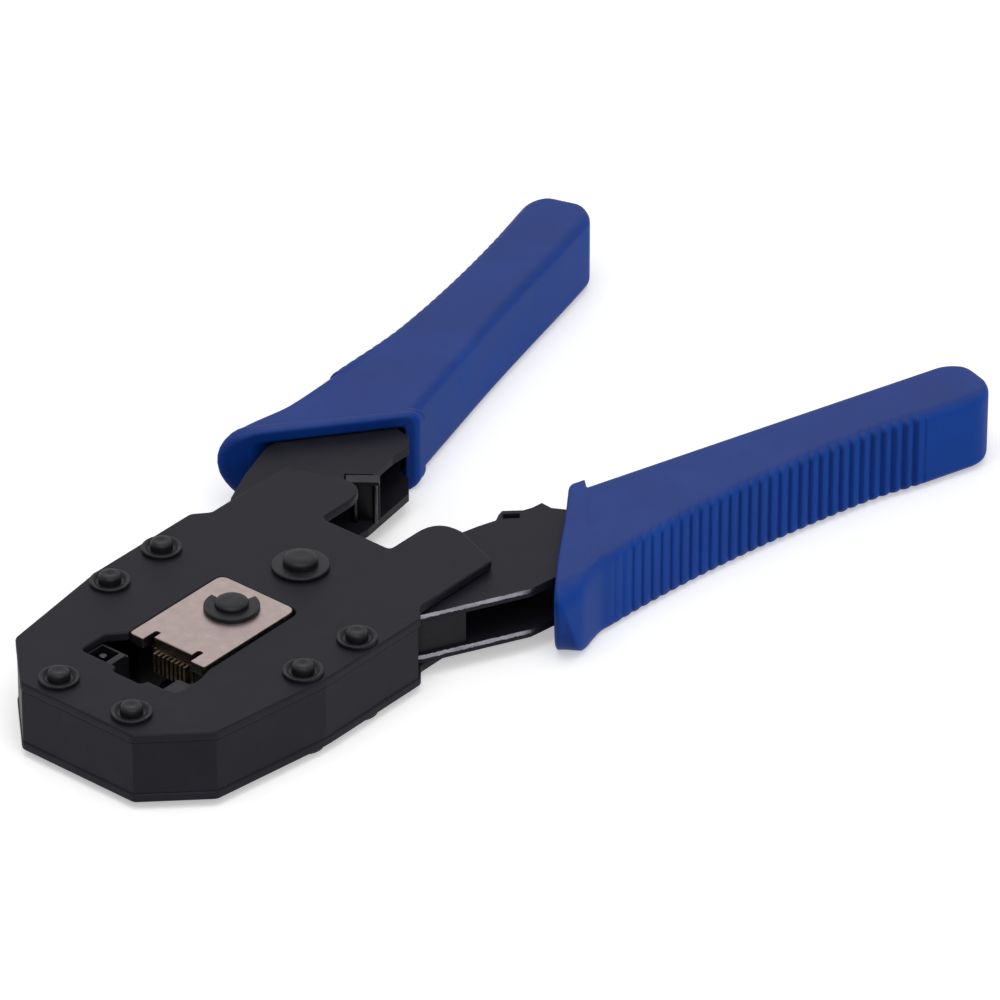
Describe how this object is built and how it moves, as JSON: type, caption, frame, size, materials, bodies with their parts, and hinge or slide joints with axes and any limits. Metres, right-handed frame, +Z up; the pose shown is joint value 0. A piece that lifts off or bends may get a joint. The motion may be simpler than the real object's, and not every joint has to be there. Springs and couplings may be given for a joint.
{
  "type": "modular plug crimping tool",
  "caption": "Hand crimping tool for modular plugs: flat black steel head with a sliding ram, cam lever, cutter and blue ribbed grips.",
  "frame": {"origin": "on the main hinge's axis, at the flat underside of its rivet, on the surface the tool lies on", "axes": "+Z up, square to the side plates; +Y from the hinge towards the handles' ends, -Y towards the nose; the fixed handle is on -X and the moving handle on +X"},
  "size_m": [0.111, 0.1953, 0.0184],
  "materials": {
    "black_enamel": "satin black baked enamel on stamped steel",
    "blacked_steel": "satin black oxide",
    "nickel_plate": "nickel plated, finely brushed",
    "blade_steel": "ground",
    "spring_steel": "drawn wire and turned steel",
    "comb_brass": "fine milled",
    "blue_grip": "moulded blue plastic with a satin skin"
  },
  "bodies": {
    "head": {"top_side_plate": "black_enamel", "bottom_side_plate": "black_enamel", "head_frame": "black_enamel", "die_nest": "blacked_steel", "nest_pin": "blade_steel", "rivet_nose_left": "blacked_steel", "rivet_nose_right": "blacked_steel", "rivet_front_left": "blacked_steel", "rivet_front_right": "blacked_steel", "rivet_rear_left": "blacked_steel", "rivet_rear_right": "blacked_steel", "pivot_rivet": "blacked_steel", "pivot_washer_top": "blacked_steel", "pivot_washer_bottom": "blacked_steel", "pivot_bushing": "spring_steel", "fixed_arm": "black_enamel", "fixed_arm_spacer": "blacked_steel", "blade_holder": "blacked_steel", "cutter_blade": "blade_steel", "stripper_blade": "blade_steel", "fixed_grip": "blue_grip"},
    "moving_handle": {"moving_arm": "black_enamel", "cam_block": "blacked_steel", "cam_dowel_front": "blade_steel", "cam_dowel_rear": "blade_steel", "moving_grip": "blue_grip", "return_spring": "spring_steel"},
    "ram": {"ram_top_plate": "nickel_plate", "ram_bottom_plate": "nickel_plate", "ram_block": "nickel_plate", "ram_dowel_left": "blade_steel", "ram_dowel_right": "blade_steel", "contact_comb": "comb_brass", "strain_relief_pusher": "blade_steel", "ram_pin": "blacked_steel", "ram_ring_top": "blacked_steel", "ram_ring_bottom": "blacked_steel"}
  },
  "joints": [
    {"name": "handle_hinge", "type": "hinge", "parent": "head", "child": "moving_handle", "pos_m": [0, 0, 0.0088], "axis": [0, 0, 1], "range_deg": [0, 32], "stiffness_Nm_per_rad": 0.3, "springref_deg": -20.05, "deforming": ["return_spring"]},
    {"name": "ram_slide", "type": "slide", "parent": "head", "child": "ram", "axis": [0, -1, 0], "range_m": [0, 0.0035]}
  ],
  "couplings": [
    {"joint": "ram_slide", "follows": "handle_hinge", "m_per_rad": 0.0062667}
  ]
}
